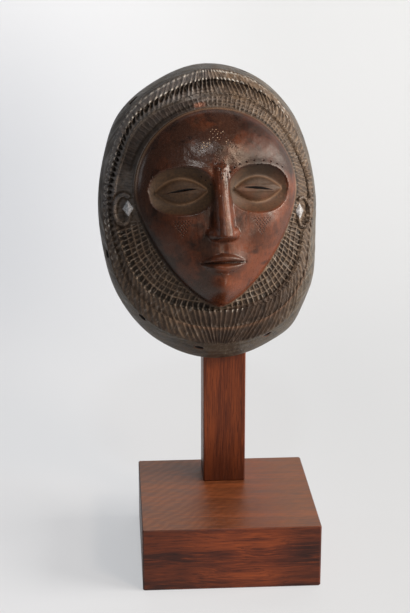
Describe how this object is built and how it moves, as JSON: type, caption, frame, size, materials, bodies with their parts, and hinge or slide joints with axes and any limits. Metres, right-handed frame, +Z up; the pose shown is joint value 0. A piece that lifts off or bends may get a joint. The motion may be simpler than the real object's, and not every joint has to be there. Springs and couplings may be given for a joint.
{
  "type": "chokwe mask on a stand",
  "caption": "Oval carved wooden face mask with ribbed coiffure and net, hollow behind, leaning on a square post over a square wooden base.",
  "frame": {"origin": "middle of the square base's underside", "axes": "+Z up, -Y towards the viewer in front of the mask, +X to that viewer's right"},
  "size_m": [0.1901, 0.1549, 0.4211],
  "materials": {
    "mask_wood": "polished dark wood with dull carved hair",
    "stand_wood": "satin red-brown wood"
  },
  "bodies": {
    "root": {"mask": "mask_wood", "post": "stand_wood", "base": "stand_wood"}
  },
  "joints": []
}
